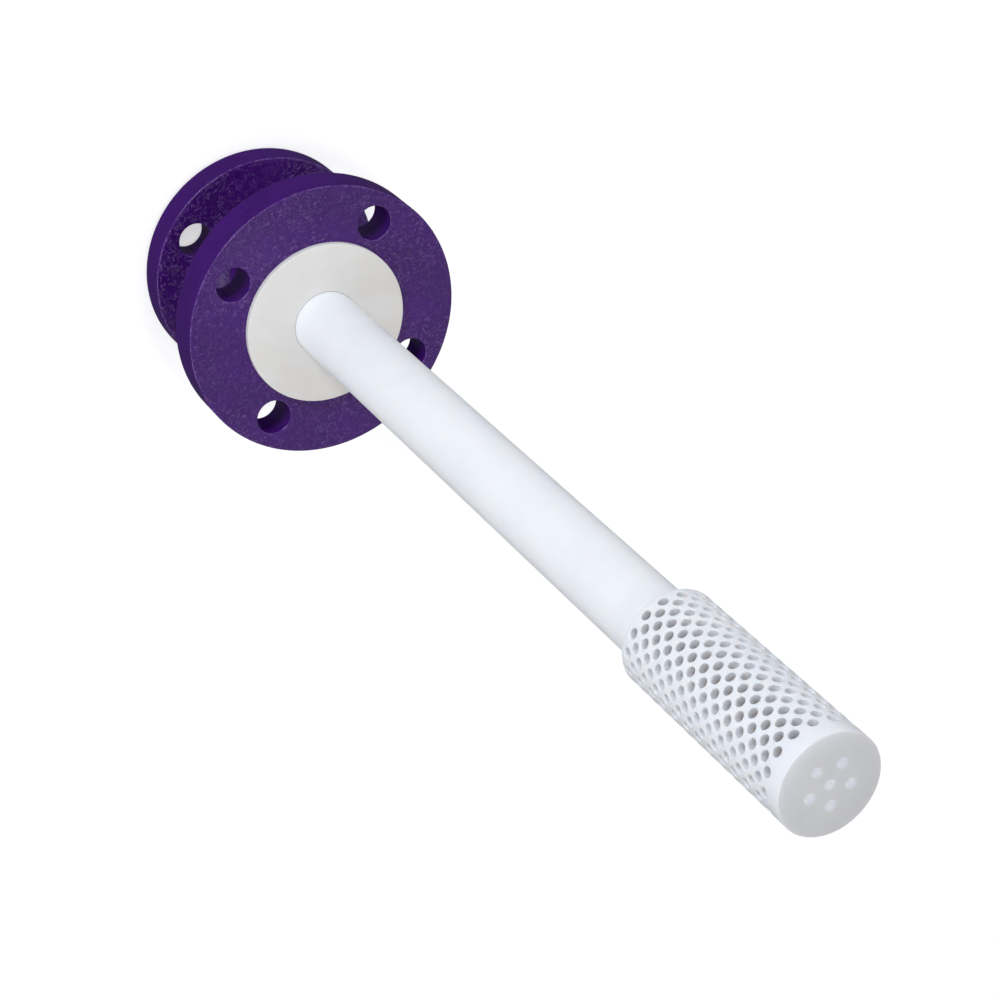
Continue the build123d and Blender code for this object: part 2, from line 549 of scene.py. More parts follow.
def add_bore_shade_share(tree, radius, height, sizes):
    """A mask of the bore inside the cup, which painted shade darkens, without its lip and its end."""
    bore = sizes.cup_radius - sizes.cup_wall
    base, top = heights("sparger_cup")
    lip = base + sizes.cup_lip
    end = top - sizes.cup_end
    within = add_range(tree, radius, bore + BORE_SHADE_FALL[0], bore + BORE_SHADE_FALL[1], 1.0, 0.0)
    above = add_range(tree, height, lip - BORE_SHADE_BORDER, lip)
    below = add_range(tree, height, end, end + BORE_SHADE_BORDER, 1.0, 0.0)
    return add_math(tree, "MULTIPLY", within, add_math(tree, "MULTIPLY", above, below))


def add_end_glow_share(tree, radius, height, sizes):
    """A mask of the painted glow on the walls of the end holes, stronger with depth under their rounded
    mouths.
    """
    top = heights("sparger_cup")[1]
    end = top - sizes.cup_end
    reach = sizes.end_circle + sizes.hole_radius + END_GLOW_MARGIN
    near_axis = add_range(tree, radius, reach, reach + END_GLOW_FADE, 1.0, 0.0)
    deep = add_range(tree, height, top - END_GLOW_DEPTH, top - sizes.hole_edge, 1.0, 0.0)
    in_end = add_range(tree, height, end, end + END_GLOW_BORDER)
    return add_math(tree, "MULTIPLY", near_axis, add_math(tree, "MULTIPLY", deep, in_end))


def turned_plastic_material(colours):
    """White fluoropolymer with a satin turned skin, a little translucent.

    Painted shade darkens the bore inside the cup. Painted light: the walls of the end holes glow faintly,
    standing in for the light that comes through the plastic round them.
    """
    material, tree, surface, place = new_material("turned_plastic")
    sizes = bpy.context.scene.sparger_sizes
    cloud = add_group(
        tree, "Clouded plastic", cloud_group,
        {
            "Coordinates": place,
            "Light": solid_colour(colours.ptfe),
            "Dark": shade(colours.ptfe, TURNED_CLOUD_SHADE, TURNED_CLOUD_TINT),
        },
    )
    radius, height = add_axis_distance(tree, place)
    # Painted shade: the bore inside the cup is mixed to the darker, warmer bore colour.
    painted_bore_shade = add_bore_shade_share(tree, radius, height, sizes)
    colour = add_mix(tree, painted_bore_shade, cloud["Color"], solid_colour(colours.painted_bore_shade))
    marks = add_group(tree, "Turning marks", turning_group, {"Coordinates": place})
    skin = add_math(tree, "MULTIPLY", cloud["Height"], TURNED_SKIN_SHARE)
    relief = add_math(tree, "ADD", skin, marks["Height"])
    add_relief(tree, surface, relief, TURNED_RELIEF_STRENGTH, PLASTIC_RELIEF)
    # Painted light: emission on the end-hole walls stands in for light that comes through the plastic.
    glow = add_mix(tree, add_end_glow_share(tree, radius, height, sizes), NO_GLOW, END_GLOW_COLOUR)
    tree.links.new(colour, surface.inputs["Base Color"])
    tree.links.new(cloud["Roughness"], surface.inputs["Roughness"])
    tree.links.new(glow, surface.inputs["Emission Color"])
    surface.inputs["Emission Strength"].default_value = END_GLOW_STRENGTH
    set_subsurface(surface, *TURNED_SUBSURFACE)
    surface.inputs["IOR"].default_value = TURNED_IOR
    return material


def pressed_plastic_material(colours):
    """Matt, warm white sheet plastic with faint rings from its facing cut."""
    material, tree, surface, place = new_material("pressed_plastic")
    cloud = add_group(
        tree, "Clouded plastic", cloud_group,
        {
            "Coordinates": place,
            "Light": solid_colour(colours.pressed),
            "Dark": shade(colours.pressed, PRESSED_CLOUD_SHADE, PRESSED_CLOUD_TINT),
        },
    )
    marks = add_group(
        tree, "Turning marks", turning_group,
        {"Coordinates": place, "Marks per Metre": PRESSED_MARKS_PER_METRE},
    )
    add_relief(tree, surface, marks["Height"], PRESSED_RELIEF_STRENGTH, PLASTIC_RELIEF)
    roughness = add_math(tree, "ADD", cloud["Roughness"], PRESSED_ROUGHER)
    tree.links.new(cloud["Color"], surface.inputs["Base Color"])
    tree.links.new(roughness, surface.inputs["Roughness"])
    set_subsurface(surface, *PRESSED_SUBSURFACE)
    return material


def shared_material(name, build):
    """A material by name, built the first time that a piece asks for it."""
    return bpy.data.materials.get(name) or build(bpy.context.scene.sparger_colours)


# Mesh helpers


def new_bmesh():
    """An empty bmesh with the layer that marks worn edges and their painted highlight."""
    bm = bmesh.new()
    bm.verts.layers.float.new(EDGE_ATTRIBUTE)
    return bm


def full_spin(bm, verts, edges, steps):
    """Spins vertices and edges all the way round the axis."""
    bmesh.ops.spin(
        bm,
        geom=verts + edges,
        cent=(0.0, 0.0, 0.0),
        axis=(0.0, 0.0, 1.0),
        dvec=(0.0, 0.0, 0.0),
        angle=math.tau,
        steps=steps,
        use_merge=True,
        use_duplicate=False,
    )
    bmesh.ops.remove_doubles(bm, verts=bm.verts, dist=MERGE_DISTANCE)


def turned(bm, profile, steps):
    """Spins a closed profile of (radius, height) corners into a ring."""
    corners = [bm.verts.new((radius, 0.0, height)) for radius, height in profile]
    edges = [bm.edges.new((a, b)) for a, b in zip(corners, corners[1:] + corners[:1])]
    full_spin(bm, corners, edges, steps)
    bmesh.ops.recalc_face_normals(bm, faces=bm.faces)


def soften_edges(bm, radius, segments=3, smallest=math.radians(50)):
    """Rounds every edge that turns by more than the smallest angle, and marks it as an edge."""
    sharp = [e for e in bm.edges if e.is_manifold and e.calc_face_angle(0.0) > smallest]
    rounded = bmesh.ops.bevel(
        bm,
        geom=sharp,
        offset=radius,
        offset_type="OFFSET",
        segments=segments,
        profile=0.5,
        affect="EDGES",
        clamp_overlap=True,
        material=-1,
    )
    layer = bm.verts.layers.float[EDGE_ATTRIBUTE]
    curved = set(rounded["faces"])
    for face in curved:
        for vert in face.verts:
            if set(vert.link_faces) <= curved:
                vert[layer] = 1.0


def cut_levels(bm, levels):
    """Cuts level loops into the upright walls, so that what an edge carries fades out beside it."""
    for level in levels:
        bmesh.ops.bisect_plane(
            bm,
            geom=bm.verts[:] + bm.edges[:] + bm.faces[:],
            dist=MERGE_DISTANCE,
            plane_co=(0.0, 0.0, level),
            plane_no=(0.0, 0.0, 1.0),
        )


def finish_piece(name, bm, material, node, crease=CREASE):
    """Turns a bmesh into the piece that stands for a node."""
    bmesh.ops.remove_doubles(bm, verts=bm.verts, dist=MERGE_DISTANCE)
    bmesh.ops.recalc_face_normals(bm, faces=bm.faces)
    mesh = bpy.data.meshes.new(name)
    bm.to_mesh(mesh)
    bm.free()
    mesh.shade_smooth()
    mesh.set_sharp_from_angle(angle=crease)
    mesh.materials.append(material)
    piece = bpy.data.objects.new(name, mesh)
    bpy.context.scene.collection.objects.link(piece)
    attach(piece, BODY)
    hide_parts(node)
    return piece


def loop_step(bm, edges, radius=None, height=None, around=(0.0, 0.0)):
    """Extrudes a loop of edges and moves the new one to a radius about a centre, and to a height."""
    made = bmesh.ops.extrude_edge_only(bm, edges=edges)["geom"]
    centre = Vector((*around, 0.0))
    for vert in (v for v in made if isinstance(v, bmesh.types.BMVert)):
        out = Vector((vert.co.x, vert.co.y, 0.0)) - centre
        if radius is not None:
            out = out.normalized() * radius
        vert.co = centre + out + Vector((0.0, 0.0, vert.co.z if height is None else height))
    return [e for e in made if isinstance(e, bmesh.types.BMEdge) and e.is_boundary]


def edges_of(verts):
    """The edges that join these verts alone."""
    chosen = set(verts)
    return list({e for v in verts for e in v.link_edges if set(e.verts) <= chosen})


def polar(radius, angle):
    """A point at a radius and an angle about the axis."""
    return radius * math.cos(angle), radius * math.sin(angle)


# Flanges

RIM_STEPS = 144
PATCH_SPREAD = 1.45
PATCH_ROWS = 8
WEB_ROWS = 4
BORDER_SPREAD = 1.5
BORDER_MARGIN = 0.01
EDGE_FADE = 3


def patch_faces(bm, bolt_radius, reach, angle):
    """The faces of a flat ring about a bolt hole."""
    step = math.tau / RIM_STEPS
    half_angle = (math.floor(reach / bolt_radius / step) + 0.1) * step
    patch = []
    for face in bm.faces:
        centre = face.calc_center_median()
        away = abs(math.hypot(centre.x, centre.y) - bolt_radius)
        turn = (math.atan2(centre.y, centre.x) - angle + math.pi) % math.tau - math.pi
        if away < reach and abs(turn) < half_angle:
            patch.append(face)
    return patch


def patch_border(bm, centre, reach, bore, rim):
    """The open edges that a deleted patch leaves, without those of the ring's own bore and rim."""
    border = []
    for edge in bm.edges:
        first, second = (vert.co for vert in edge.verts)
        near = ((first + second) / 2 - centre).length < reach
        between = bore * (1 + BORDER_MARGIN) < math.hypot(first.x, first.y) < rim * (1 - BORDER_MARGIN)
        if edge.is_boundary and near and between:
            border.append(edge)
    return border


def flange_plate(bm, rim, bore, bolt_radius, hole_radius, bolt_angles):
    """A flat ring of faces with its bolt holes, each bridged to a patch that is cut from the ring."""
    reach = hole_radius * PATCH_SPREAD
    low = bolt_radius - reach
    inner = [bore + (low - bore) * i / WEB_ROWS for i in range(WEB_ROWS)]
    rows = [low + 2 * reach * i / PATCH_ROWS for i in range(PATCH_ROWS + 1)]
    line = [bm.verts.new((radius, 0.0, 0.0)) for radius in inner + rows + [rim]]
    edges = [bm.edges.new((a, b)) for a, b in zip(line, line[1:])]
    full_spin(bm, line, edges, RIM_STEPS)
    for angle in bolt_angles:
        bmesh.ops.delete(bm, geom=patch_faces(bm, bolt_radius, reach, angle), context="FACES")
        centre = Vector((*polar(bolt_radius, angle), 0.0))
        border = patch_border(bm, centre, reach * BORDER_SPREAD, bore, rim)
        circle = bmesh.ops.create_circle(
            bm, cap_ends=False, segments=len(border), radius=hole_radius,
            matrix=Matrix.Translation(centre) @ Matrix.Rotation(angle, 4, "Z"),
        )["verts"]
        bmesh.ops.bridge_loops(bm, edges=border + edges_of(circle))


def bolt_angles_of(mount):
    """The angles of a bolt pattern's holes, which straddle the axes."""
    count = mount["dims"]["count"]
    return [math.pi / count + i * math.tau / count for i in range(count)]


def make_flange(node, mount_name):
    """One flange of the spool, with rounded edges."""
    sizes = bpy.context.scene.sparger_sizes
    mount = MOUNTS[mount_name]
    bottom, top = heights(node)
    bore = outer_radius("neck_tube") + sizes.weld_gap
    bm = new_bmesh()
    flange_plate(
        bm,
        outer_radius(node),
        bore,
        mount["dims"]["pcd_mm"] / 2 * MM,
        mount["dims"]["hole_r_mm"] * MM,
        bolt_angles_of(mount),
    )
    top_side = bmesh.ops.extrude_face_region(bm, geom=bm.faces[:])["geom"]
    risen = [v for v in top_side if isinstance(v, bmesh.types.BMVert)]
    bmesh.ops.translate(bm, verts=bm.verts, vec=(0.0, 0.0, bottom))
    bmesh.ops.translate(bm, verts=risen, vec=(0.0, 0.0, top - bottom))
    bmesh.ops.recalc_face_normals(bm, faces=bm.faces)
    fade = EDGE_FADE * sizes.steel_edge
    cut_levels(bm, (bottom + fade, (bottom + top) / 2, top - fade))
    soften_edges(bm, sizes.steel_edge)
    enamel = shared_material("purple_enamel", enamel_material)
    return finish_piece(f"{node}_enamelled", bm, enamel, node)


class SPARGER_OT_flanges(bpy.types.Operator):
    """Model both flanges with their bolt holes and rounded rims"""

    bl_idname = "sparger.flanges"
    bl_label = "Flanges"

    def execute(self, context):
        make_flange("vessel_flange", "vessel_bolts")
        make_flange("inlet_flange", "inlet_bolts")
        return {"FINISHED"}


# Neck tube and welds

NECK_STEPS = 128
VENT_STEPS = 32
VENT_BAND = 1.3
VENT_CREASE = math.radians(35)
WELD_STEPS = 240
WELD_ARC_STEPS = 6
WELD_BULGE = 0.13
WELD_BULGE_LEAN = 0.7
WELD_TOE = 0.02
WELD_RIPPLES = 60
WELD_RIPPLE_BEND = 0.5
WELD_RIPPLE_SHARPNESS = 0.6
WELD_RIPPLE_DEPTH = 0.16 * MM


def drill_vent(piece, radius, height, sizes):
    """Cuts the vent hole through one wall of the tube, with a cutter that is then removed."""
    cutter_mesh = bpy.data.meshes.new("vent_cutter")
    cutter_bm = bmesh.new()
    across = Matrix.Translation((radius, 0.0, height)) @ Matrix.Rotation(math.pi / 2, 4, "Y")
    bmesh.ops.create_cone(
        cutter_bm, cap_ends=True, segments=VENT_STEPS, radius1=sizes.vent_radius,
        radius2=sizes.vent_radius, depth=radius, matrix=across,
    )
    cutter_bm.to_mesh(cutter_mesh)
    cutter_bm.free()
    cutter = bpy.data.objects.new("vent_cutter", cutter_mesh)
    bpy.context.scene.collection.objects.link(cutter)
    drilling = piece.modifiers.new("vent", "BOOLEAN")
    drilling.operation = "DIFFERENCE"
    drilling.solver = "EXACT"
    drilling.object = cutter
    drilled = bpy.data.meshes.new_from_object(
        piece.evaluated_get(bpy.context.evaluated_depsgraph_get())
    )
    drilled.set_sharp_from_angle(angle=VENT_CREASE)
    piece.modifiers.clear()
    piece.data = drilled
    bpy.data.objects.remove(cutter)


def make_neck_tube(sizes):
    """The tube between the flanges. Two loops keep what the vent hole cuts to a short band."""
    bottom, top = heights("neck_tube")
    radius = outer_radius("neck_tube")
    bore = radius - sizes.neck_wall
    middle = (heights("inlet_flange")[1] + heights("vessel_flange")[0]) / 2
    band = VENT_BAND * sizes.vent_radius
    levels = (bottom, middle - band, middle + band, top)
    outside = [(radius, level) for level in levels]
    inside = [(bore, level) for level in reversed(levels)]
    bm = new_bmesh()
    turned(bm, outside + inside, NECK_STEPS)
    soften_edges(bm, sizes.weld_gap)
    enamel = shared_material("purple_enamel", enamel_material)
    piece = finish_piece("neck_tube_enamelled", bm, enamel, "neck_tube")
    drill_vent(piece, radius, middle, sizes)


def ripple_weld(bm, neck, leg, corner_height, direction):
    """Presses the ripples of the weld's run into its bulging face."""
    for vert in bm.verts:
        radius = math.hypot(vert.co.x, vert.co.y)
        height = abs(vert.co.z - corner_height)
        if min(radius - neck, height) < WELD_TOE * leg:
            continue
        angle = math.atan2(vert.co.y, vert.co.x)
        bend = WELD_RIPPLE_BEND * math.sin(height / leg * math.pi)
        phase = (angle * WELD_RIPPLES / math.tau + bend) % 1.0
        depth = WELD_RIPPLE_DEPTH * (1.0 - abs(2.0 * phase - 1.0)) ** WELD_RIPPLE_SHARPNESS
        vert.co.x -= depth * vert.co.x / radius
        vert.co.y -= depth * vert.co.y / radius
        vert.co.z -= direction * depth


def make_weld(node, corner_height, direction):
    """A fillet weld bead in the corner at a height, on the side that the direction, 1 or -1, gives."""
    neck = outer_radius("neck_tube")
    leg = outer_radius(node) - neck
    profile = [(neck, corner_height)]
    for i in range(WELD_ARC_STEPS + 1):
        along = i / WELD_ARC_STEPS
        bulge = WELD_BULGE * WELD_BULGE_LEAN * leg * math.sin(math.pi * along)
        out = min(leg * (1 - along) + bulge, leg)
        up = min(leg * along + bulge, leg)
        profile.append((neck + out, corner_height + direction * up))
    bm = new_bmesh()
    turned(bm, profile, WELD_STEPS)
    ripple_weld(bm, neck, leg, corner_height, direction)
    enamel = shared_material("purple_enamel", enamel_material)
    finish_piece(f"{node}_bead", bm, enamel, node)


class SPARGER_OT_neck(bpy.types.Operator):
    """Model the neck tube with its vent hole, and the weld bead at each end of it"""

    bl_idname = "sparger.neck"
    bl_label = "Neck Tube and Welds"

    def execute(self, context):
        make_neck_tube(context.scene.sparger_sizes)
        make_weld("inlet_weld", heights("inlet_weld")[0], 1)
        make_weld("vessel_weld", heights("vessel_weld")[1], -1)
        return {"FINISHED"}


# Dip pipe and face ring

PIPE_STEPS = 160


class SPARGER_OT_dip_pipe(bpy.types.Operator):
    """Model the dip pipe with its flare below and its turned spigot inside the cup"""

    bl_idname = "sparger.dip_pipe"
    bl_label = "Dip Pipe"

    def execute(self, context):
        sizes = context.scene.sparger_sizes
        bottom, top = heights("dip_pipe")
        flare_top = heights("inlet_flange")[0]
        shoulder = heights("sparger_cup")[0]
        profile = [
            (BORE_RADIUS, bottom),
            (outer_radius("dip_pipe"), bottom),
            (outer_radius("dip_pipe"), flare_top),
            (sizes.pipe_radius, flare_top),
            (sizes.pipe_radius, shoulder),
            (sizes.spigot_radius, shoulder),
            (sizes.spigot_radius, top),
            (BORE_RADIUS, top),
        ]
        bm = new_bmesh()
        turned(bm, profile, PIPE_STEPS)
        soften_edges(bm, sizes.plastic_edge)
        plastic = shared_material("turned_plastic", turned_plastic_material)
        finish_piece("dip_pipe_turned", bm, plastic, "dip_pipe")
        return {"FINISHED"}


class SPARGER_OT_face_ring(bpy.types.Operator):
    """Model the sealing ring on the vessel flange"""

    bl_idname = "sparger.face_ring"
    bl_label = "Face Ring"

    def execute(self, context):
        sizes = context.scene.sparger_sizes
        bottom, top = heights("face_ring")
        bore = sizes.pipe_radius + sizes.ring_clearance
        rim = outer_radius("face_ring")
        bm = new_bmesh()
        turned(bm, [(bore, bottom), (rim, bottom), (rim, top), (bore, top)], PIPE_STEPS)
        soften_edges(bm, sizes.plastic_edge)
        plastic = shared_material("pressed_plastic", pressed_plastic_material)
        finish_piece("face_ring_pressed", bm, plastic, "face_ring")
        return {"FINISHED"}


# Perforated cup

HOLE_STEPS = 16
END_HOLE_STEPS = 24
CELL_MERGE_DISTANCE = 0.01 * MM
BORDER_TOLERANCE = 0.2 * MM
WALL_MARGIN = 0.1 * MM
LIP_EDGE = 0.15 * MM
ROUND_MIDDLE = 0.3
CUP_CREASE = math.radians(32)


def diamond_step(bm, edges, half_width, half_height):
    """Extrudes a round loop about the origin level to a diamond, with as many points on its sides."""
    made = bmesh.ops.extrude_edge_only(bm, edges=edges)["geom"]
    for vert in (v for v in made if isinstance(v, bmesh.types.BMVert)):
        reach = abs(vert.co.x) + abs(vert.co.y)
        vert.co.x *= half_width / reach
        vert.co.y *= half_height / reach


def hole_cell(sizes, half_width, half_height):
    """One drilled hole in a flat diamond of the wall: x runs round the cup, y up and z outwards.

    The inner mouth is as much wider as the wall shrinks when it is rolled up, so the hole stays round.
    """
    bm = bmesh.new()
    mouth = bmesh.ops.create_circle(
        bm, cap_ends=False, segments=HOLE_STEPS, radius=sizes.hole_radius + sizes.hole_edge
    )["verts"]
    mouth_edges = edges_of(mouth)
    diamond_step(bm, mouth_edges, half_width, half_height)
    throat = loop_step(bm, mouth_edges, sizes.hole_radius, -sizes.hole_edge)
    bottom = loop_step(bm, throat, sizes.hole_radius, -sizes.cup_wall)
    bottom_verts = list({v for e in bottom for v in e.verts})
    diamond_step(bm, bottom, half_width, half_height)
    roll = sizes.cup_radius / (sizes.cup_radius - sizes.cup_wall)
    bmesh.ops.scale(bm, vec=(roll, 1.0, 1.0), verts=bottom_verts)
    mesh = bpy.data.meshes.new("hole_cell")
    bm.to_mesh(mesh)
    bm.free()
    return mesh


def border_loop(bm, radius, low, high):
    """The open edges of the perforated wall at a radius and between two heights."""

    def fits(vert):
        away = abs(math.hypot(vert.co.x, vert.co.y) - radius)
        return away < BORDER_TOLERANCE and low <= vert.co.z <= high

    return [e for e in bm.edges if e.is_boundary and all(fits(v) for v in e.verts)]


def rolled_wall(bm, sizes, base, length):
    """The perforated wall: a flat sheet of hole cells, rolled up, its borders clear of lip and end."""
    radius = sizes.cup_radius
    row_step = math.tau / (2 * sizes.holes_per_ring)
    ring_pitch = (length - sizes.first_ring - sizes.last_ring) / (sizes.ring_count - 1)
    cell = hole_cell(sizes, row_step * radius, ring_pitch)
    for ring in range(sizes.ring_count):
        for hole in range(sizes.holes_per_ring):
            known = len(bm.verts)
            bm.from_mesh(cell)
            bm.verts.ensure_lookup_table()
            along = (2 * hole + ring % 2) * row_step * radius
            up = sizes.first_ring + ring * ring_pitch
            bmesh.ops.translate(bm, verts=bm.verts[known:], vec=(along, up, 0.0))
    bpy.data.meshes.remove(cell)
    outer_low = sizes.plastic_edge + 2 * WALL_MARGIN
    inner_low = sizes.cup_lip + WALL_MARGIN
    inner_high = length - sizes.cup_end - WALL_MARGIN
    for vert in bm.verts:
        if vert.co.z > -sizes.cup_wall / 2:
            height = max(vert.co.y, outer_low)
        else:
            height = min(max(vert.co.y, inner_low), inner_high)
        x, y = polar(radius + vert.co.z, vert.co.x / radius + sizes.side_turn)
        vert.co = (x, y, base + height)
    bmesh.ops.remove_doubles(bm, verts=bm.verts, dist=CELL_MERGE_DISTANCE)


def rounded_border(bm, edges, sizes, level, inward):
    """Carries the outer border of the wall round its edge to a face at a level."""
    edge = sizes.plastic_edge
    for narrower, further_in in ((0.0, 1.0), (ROUND_MIDDLE, ROUND_MIDDLE), (1.0, 0.0)):
        radius = sizes.cup_radius - narrower * edge
        edges = loop_step(bm, edges, radius, level + inward * further_in * edge)
    return edges


def close_back(bm, sizes, base, middle):
    """The back face of the cup, its lip, and the mouth that is a slip fit on the spigot."""
    bore = sizes.cup_radius - sizes.cup_wall
    mouth = sizes.spigot_radius + sizes.ring_clearance
    lip_top = base + sizes.cup_lip
    back = rounded_border(bm, border_loop(bm, sizes.cup_radius, base, middle), sizes, base, 1)
    loop = border_loop(bm, bore, base, middle)
    for radius, height in (
        (bore, lip_top),
        (mouth, lip_top),
        (mouth, base + LIP_EDGE),
        (mouth + LIP_EDGE, base),
    ):
        loop = loop_step(bm, loop, radius, height)
    bmesh.ops.bridge_loops(bm, edges=back + loop)


def close_end(bm, sizes, top, middle):
    """The end of the cup with its holes, and its inner face."""
    bore = sizes.cup_radius - sizes.cup_wall
    end = top - sizes.cup_end
    rim = rounded_border(bm, border_loop(bm, sizes.cup_radius, middle, top), sizes, top, -1)
    inside = loop_step(bm, border_loop(bm, bore, middle, top), bore, end)
    centres = [(0.0, 0.0)]
    for i in range(sizes.end_count):
        centres.append(polar(sizes.end_circle, sizes.end_turn + i * math.tau / sizes.end_count))
    mouths, throats = [], []
    for centre in centres:
        circle = bmesh.ops.create_circle(
            bm, cap_ends=False, segments=END_HOLE_STEPS, radius=sizes.hole_radius + sizes.hole_edge,
            matrix=Matrix.Translation((*centre, top)),
        )["verts"]
        mouth = edges_of(circle)
        mouths += mouth
        throat = loop_step(bm, mouth, sizes.hole_radius, top - sizes.hole_edge, centre)
        throats += loop_step(bm, throat, sizes.hole_radius, end, centre)
    bmesh.ops.triangle_fill(bm, use_beauty=True, use_dissolve=False, edges=rim + mouths)
    bmesh.ops.triangle_fill(bm, use_beauty=True, use_dissolve=False, edges=inside + throats)


def make_cup(sizes):
    """The perforated cup: its drilled wall, its lip, and its end with holes of its own."""
    base, top = heights("sparger_cup")
    middle = (base + top) / 2
    bm = new_bmesh()
    rolled_wall(bm, sizes, base, top - base)
    close_back(bm, sizes, base, middle)
    close_end(bm, sizes, top, middle)
    plastic = shared_material("turned_plastic", turned_plastic_material)
    finish_piece("sparger_cup_drilled", bm, plastic, "sparger_cup", CUP_CREASE)


class SPARGER_OT_cup(bpy.types.Operator):
    """Model the perforated cup with its staggered side holes and its end holes"""

    bl_idname = "sparger.cup"
    bl_label = "Perforated Cup"

    def execute(self, context):
        make_cup(context.scene.sparger_sizes)
        return {"FINISHED"}


# Stage

AIM = Vector((0.0040, 0.0034, 0.2605))
CAMERA_AZIMUTH = math.radians(-63.37)
CAMERA_ELEVATION = math.radians(51.59)
CAMERA_ROLL = math.radians(132.86)
CAMERA_DISTANCE = 1.058
LENS = 96.9
SENSOR_WIDTH = 36.0

KEY_AZIMUTH = math.radians(-68)
KEY_ELEVATION = math.radians(13)
KEY_DISTANCE = 1.15
KEY_SIZE = 0.30
KEY_POWER = 5.8
KEY_COLOUR = (0.86, 0.91, 1.0)

FILL_SPREAD = math.radians(75)
FILL_ELEVATION = math.radians(8)
FILL_DISTANCE = 1.3
FILL_SIZE = 0.9
FILL_LEFT_POWER = 3.2
FILL_RIGHT_POWER = 2.0
FILL_COLOUR = (0.93, 0.96, 1.0)

FACE_SPOT_ELEVATION = math.radians(75)
FACE_SPOT_DISTANCE = 1.1
FACE_SPOT_SIZE = 0.06
FACE_SPOT_ANGLE = math.radians(11)
FACE_SPOT_BLEND = 0.6
FACE_SPOT_POWER = 5.2
FACE_SPOT_COLOUR = (1.0, 0.99, 0.97)

FLOOR_HALF_WIDTH = 6.0
FLOOR_CLOUD_SIZE = 0.4
FLOOR_CLOUD_SHADE = 0.985
FLOOR_ROUGHNESS = 0.9
FLOOR_SPECULAR = 0.1
FLOOR_GLOW_COLOUR = (1.0, 1.0, 1.0, 1.0)
FLOOR_GLOW = 0.57

SKY_COLOUR = (1.0, 0.99, 0.985, 1.0)
SKY_STRENGTH = 0.58
MIRRORED_GROUND_STRENGTH = 0.05
HORIZON_FALL = (-0.25, 0.15)


def direction(azimuth, elevation):
    """A unit vector at an azimuth and an elevation."""
    level = math.cos(elevation)
    return Vector((level * math.cos(azimuth), level * math.sin(azimuth), math.sin(elevation)))


def stand_off(target, toward, distance):
    """The place of a camera or light that faces its target from a distance."""
    turn = toward.to_track_quat("Z", "Y").to_matrix().to_4x4()
    return Matrix.Translation(target + toward * distance) @ turn


def add_to_scene(name, data, place):
    """An object in the scene at its place."""
    item = bpy.data.objects.new(name, data)
    item.matrix_world = place
    bpy.context.scene.collection.objects.link(item)
    return item


def floor_material(colours):
    """Plain pale paint that glows a little, so that the floor stays even."""
    material, tree, surface, place = new_material("floor_paint")
    clouds = add_noise(tree, place, FLOOR_CLOUD_SIZE)
    darker = shade(colours.floor, FLOOR_CLOUD_SHADE)
    tone = add_mix(tree, clouds, solid_colour(colours.floor), darker)
    tree.links.new(tone, surface.inputs["Base Color"])
    surface.inputs["Roughness"].default_value = FLOOR_ROUGHNESS
    surface.inputs["Specular IOR Level"].default_value = FLOOR_SPECULAR
    surface.inputs["Emission Color"].default_value = FLOOR_GLOW_COLOUR
    surface.inputs["Emission Strength"].default_value = FLOOR_GLOW
    return material


def make_floor(colours):
    """A plain floor that neither lights the part nor shows in its gloss."""
    bm = bmesh.new()
    bmesh.ops.create_grid(bm, x_segments=1, y_segments=1, size=FLOOR_HALF_WIDTH)
    mesh = bpy.data.meshes.new("floor")
    bm.to_mesh(mesh)
    bm.free()
    mesh.materials.append(floor_material(colours))
    floor = add_to_scene("floor", mesh, Matrix())
    floor.visible_diffuse = False
    floor.visible_glossy = False


def add_camera(scene):
    """A camera above the aim point, rolled so that the pipe runs down to the right."""
    camera_data = bpy.data.cameras.new("camera")
    camera_data.lens = LENS
    camera_data.sensor_width = SENSOR_WIDTH
    away = direction(CAMERA_AZIMUTH, CAMERA_ELEVATION)
    roll = Matrix.Rotation(CAMERA_ROLL, 4, "Z")
    scene.camera = add_to_scene("camera", camera_data, stand_off(AIM, away, CAMERA_DISTANCE) @ roll)


def add_area_light(name, toward, distance, size, power, colour):
    """A square soft light that faces the aim point."""
    light = bpy.data.lights.new(name, "AREA")
    light.shape = "SQUARE"
    light.size = size
    light.energy = power
    light.color = colour
    add_to_scene(name, light, stand_off(AIM, toward, distance))


def add_face_spot():
    """A narrow light from above that falls on the face ring and the flange face round it."""
    light = bpy.data.lights.new("face_spot", "SPOT")
    light.energy = FACE_SPOT_POWER
    light.color = FACE_SPOT_COLOUR
    light.spot_size = FACE_SPOT_ANGLE
    light.spot_blend = FACE_SPOT_BLEND
    light.shadow_soft_size = FACE_SPOT_SIZE
    target = Vector((0.0, 0.0, heights("face_ring")[1]))
    toward = direction(CAMERA_AZIMUTH, FACE_SPOT_ELEVATION)
    add_to_scene("face_spot", light, stand_off(target, toward, FACE_SPOT_DISTANCE))


def add_lights():
    """A low key light near the camera, a weaker fill on each side, and the spot on the face ring."""
    key = direction(KEY_AZIMUTH, KEY_ELEVATION)
    add_area_light("key", key, KEY_DISTANCE, KEY_SIZE, KEY_POWER, KEY_COLOUR)
    left = direction(CAMERA_AZIMUTH + FILL_SPREAD, FILL_ELEVATION)
    add_area_light("fill_left", left, FILL_DISTANCE, FILL_SIZE, FILL_LEFT_POWER, FILL_COLOUR)
    right = direction(CAMERA_AZIMUTH - FILL_SPREAD, FILL_ELEVATION)
    add_area_light("fill_right", right, FILL_DISTANCE, FILL_SIZE, FILL_RIGHT_POWER, FILL_COLOUR)
    add_face_spot()


